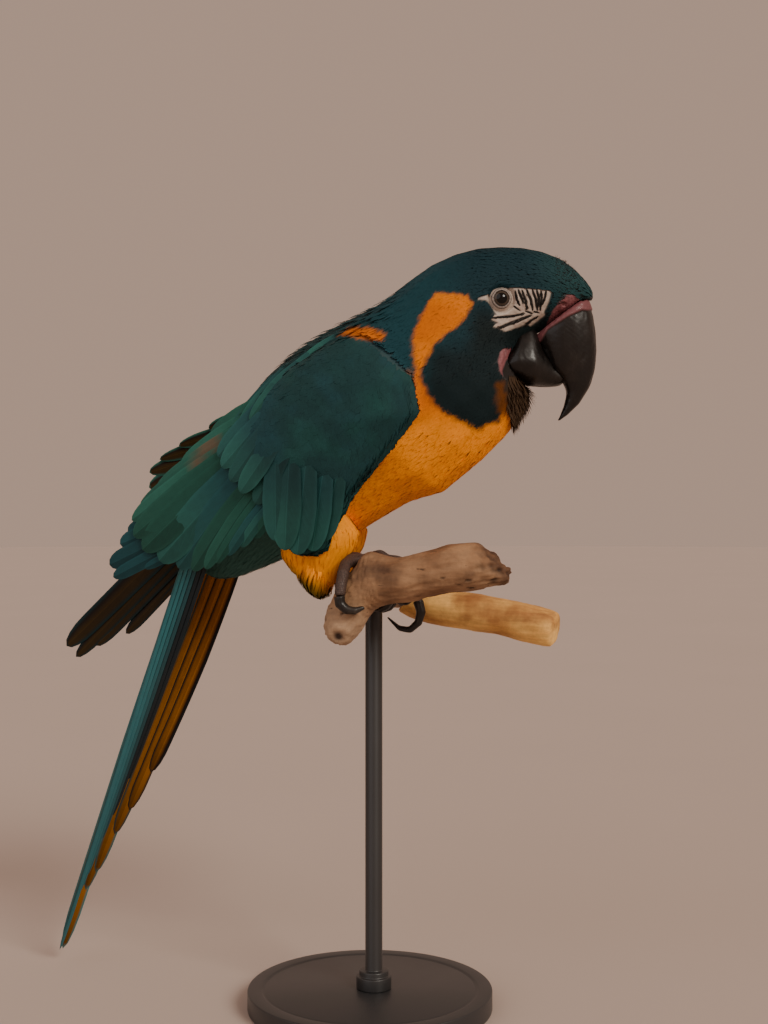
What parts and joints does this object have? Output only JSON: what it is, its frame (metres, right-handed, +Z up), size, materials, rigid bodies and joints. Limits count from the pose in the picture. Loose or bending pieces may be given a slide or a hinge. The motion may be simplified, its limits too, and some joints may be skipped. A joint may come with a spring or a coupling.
{
  "type": "blue-throated macaw on a perch",
  "caption": "Still life-size parrot with folded wings and a long tail, gripping a short cut piece of driftwood on a rod and flat round base.",
  "frame": {"origin": "centre of the stand base's underside", "axes": "+Z up, +X towards the bird's front, -Y the bird's right side"},
  "size_m": [0.4321, 0.176, 0.542],
  "materials": {
    "breast_feathers": "soft orange-yellow body feathers, olive green at the fringe",
    "body_feathers": "soft teal-blue feathers, green on the forehead",
    "wing_feathers": "smooth dark teal vanes with lighter streaks",
    "tail_feathers": "smooth teal vanes above, olive gold below",
    "bill_horn": "glossy black horn with fine growth scratches",
    "eye": "wet dark eye with a pale grey iris",
    "foot_scales": "dark grey scaly skin",
    "claw_horn": "satin black horn",
    "driftwood": "pale grey-brown weathered driftwood",
    "tan_driftwood": "smooth tan driftwood",
    "stand_paint": "satin black paint"
  },
  "bodies": {
    "root": {"trunk": "breast_feathers", "neck": "body_feathers", "head": "body_feathers", "bill_upper": "bill_horn", "bill_lower": "bill_horn", "eye_right": "eye", "eye_left": "eye", "wing_right_coverts": "wing_feathers", "wing_left_coverts": "wing_feathers", "wing_right_secondaries": "wing_feathers", "wing_left_secondaries": "wing_feathers", "wing_right_primaries": "wing_feathers", "wing_left_primaries": "wing_feathers", "tail_right": "tail_feathers", "tail_left": "tail_feathers", "thigh_right": "breast_feathers", "thigh_left": "breast_feathers", "foot_right": "foot_scales", "foot_left": "foot_scales", "claw_right_inner_front": "claw_horn", "claw_right_outer_front": "claw_horn", "claw_right_inner_rear": "claw_horn", "claw_right_outer_rear": "claw_horn", "claw_left_inner_front": "claw_horn", "claw_left_outer_front": "claw_horn", "claw_left_inner_rear": "claw_horn", "claw_left_outer_rear": "claw_horn", "perch_log": "driftwood", "perch_branch": "tan_driftwood", "stand_base": "stand_paint", "stand_rod": "stand_paint"}
  },
  "joints": []
}
